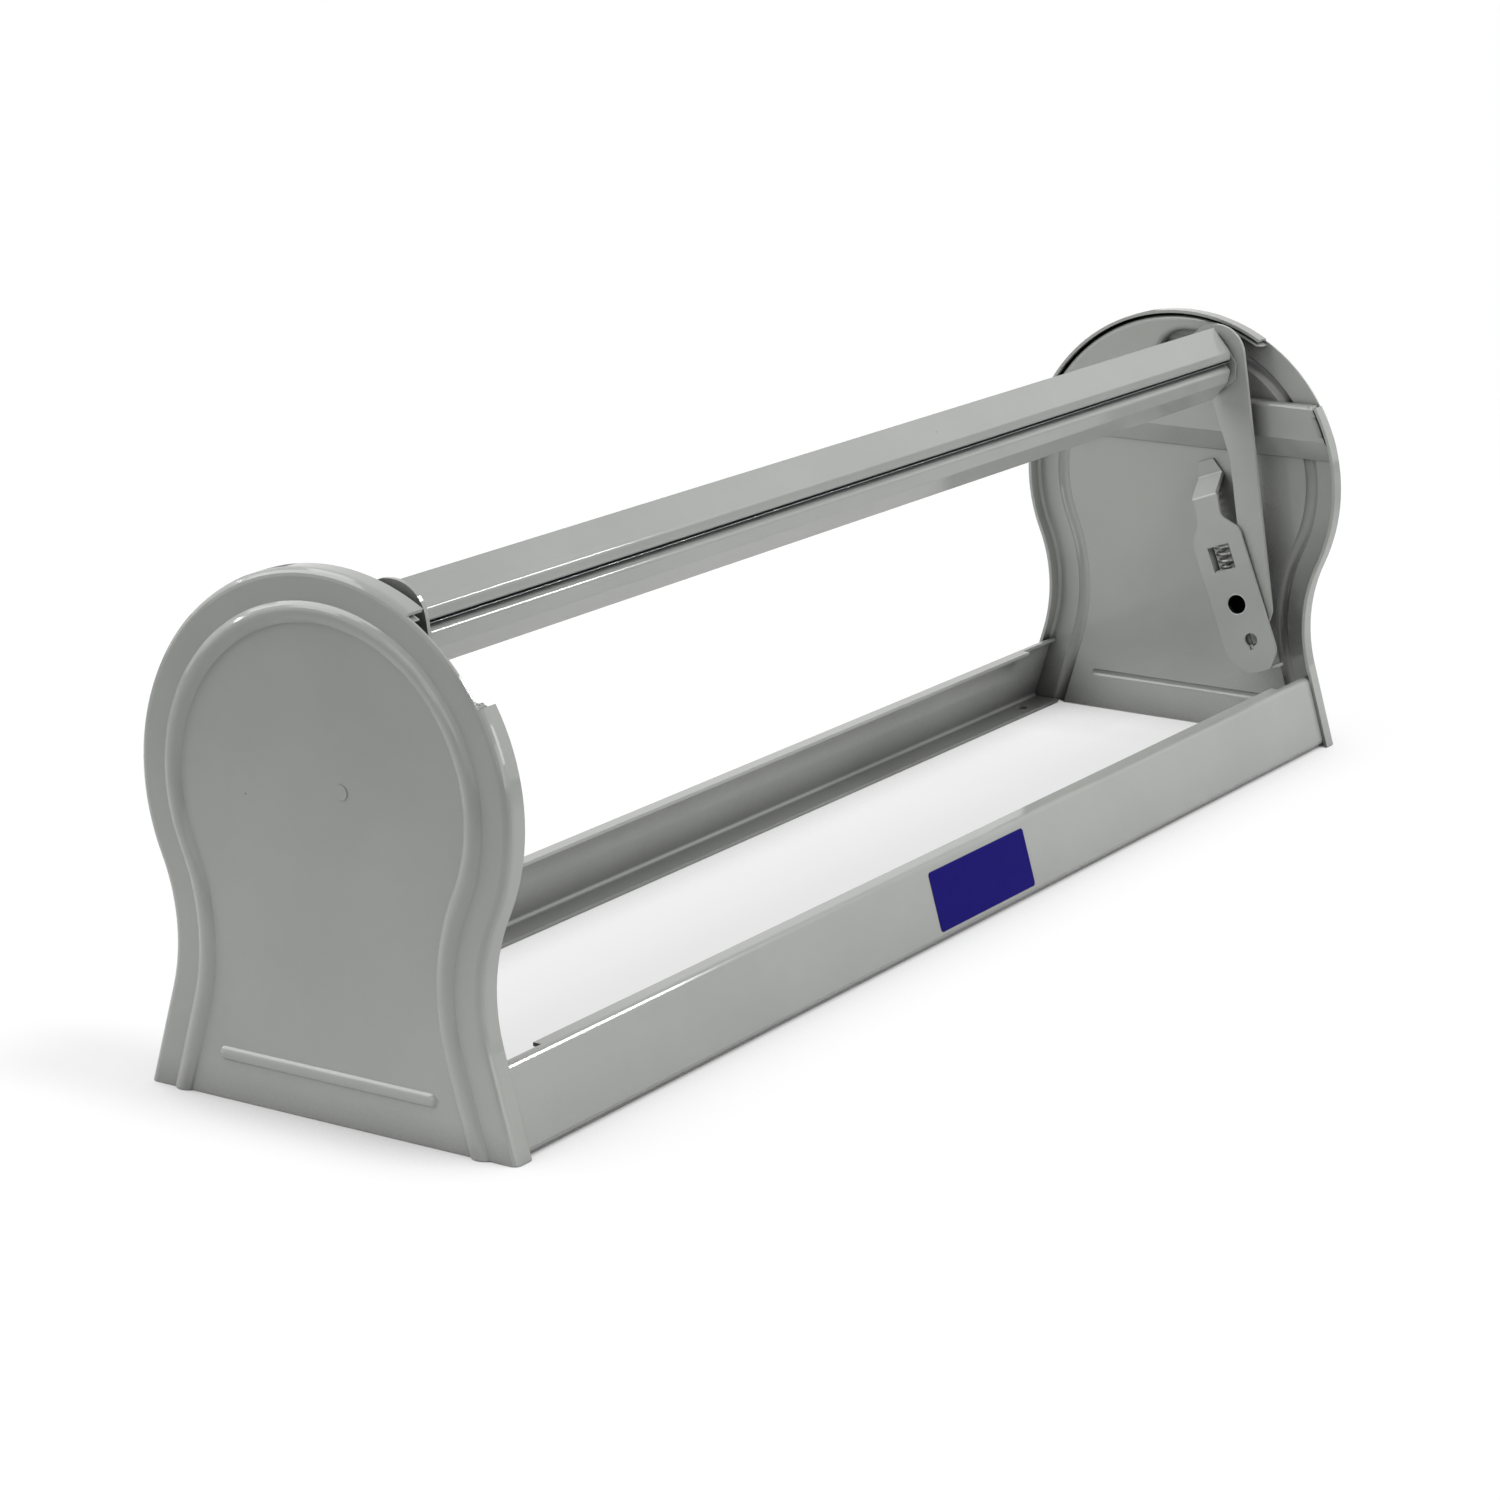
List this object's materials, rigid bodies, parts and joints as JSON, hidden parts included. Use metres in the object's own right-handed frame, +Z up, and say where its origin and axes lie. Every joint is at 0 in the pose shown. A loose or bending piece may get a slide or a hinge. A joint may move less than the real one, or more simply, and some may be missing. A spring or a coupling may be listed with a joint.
{
  "type": "paper roll dispenser",
  "caption": "Counter-top stand of bent sheet steel for a wide paper roll, with a sprung swinging cutter bar between two rounded end plates",
  "frame": {"origin": "middle of the base, on the plane that the stand rests on", "axes": "X runs along the roll, from the left end plate to the right one; the front, where paper is torn off, faces -Y; Z is up"},
  "size_m": [0.6924, 0.171, 0.2086],
  "materials": {
    "grey_enamel": "satin grey baked enamel",
    "plated_steel": "zinc plated",
    "spring_steel": "drawn spring wire",
    "blade_steel": "ground strip",
    "label_film": "plain dark blue sticker"
  },
  "bodies": {
    "stand": {"left_end_plate": "grey_enamel", "right_end_plate": "grey_enamel", "left_shaft_guide": "grey_enamel", "right_shaft_guide": "grey_enamel", "front_rail": "grey_enamel", "rear_rail": "grey_enamel", "left_pivot_bracket": "grey_enamel", "right_pivot_bracket": "grey_enamel", "left_pivot_tube": "plated_steel", "right_pivot_tube": "plated_steel", "pivot_washers": "plated_steel", "left_arm_spring": "spring_steel", "right_arm_spring": "spring_steel", "blank_label": "label_film"},
    "cutter": {"left_arm": "grey_enamel", "right_arm": "grey_enamel", "upper_cutter_bar": "grey_enamel", "lower_cutter_bar": "grey_enamel", "cutter_blade": "blade_steel", "bar_rivets": "plated_steel", "left_bar_clip": "grey_enamel", "right_bar_clip": "grey_enamel"}
  },
  "joints": [
    {"name": "cutter_swing", "type": "hinge", "parent": "stand", "child": "cutter", "pos_m": [0, -0.0393, 0.0683], "axis": [1, 0, 0], "range_deg": [0, 80], "stiffness_Nm_per_rad": 0.45, "springref_deg": -34.38, "deforming": ["left_arm_spring", "right_arm_spring"]}
  ]
}
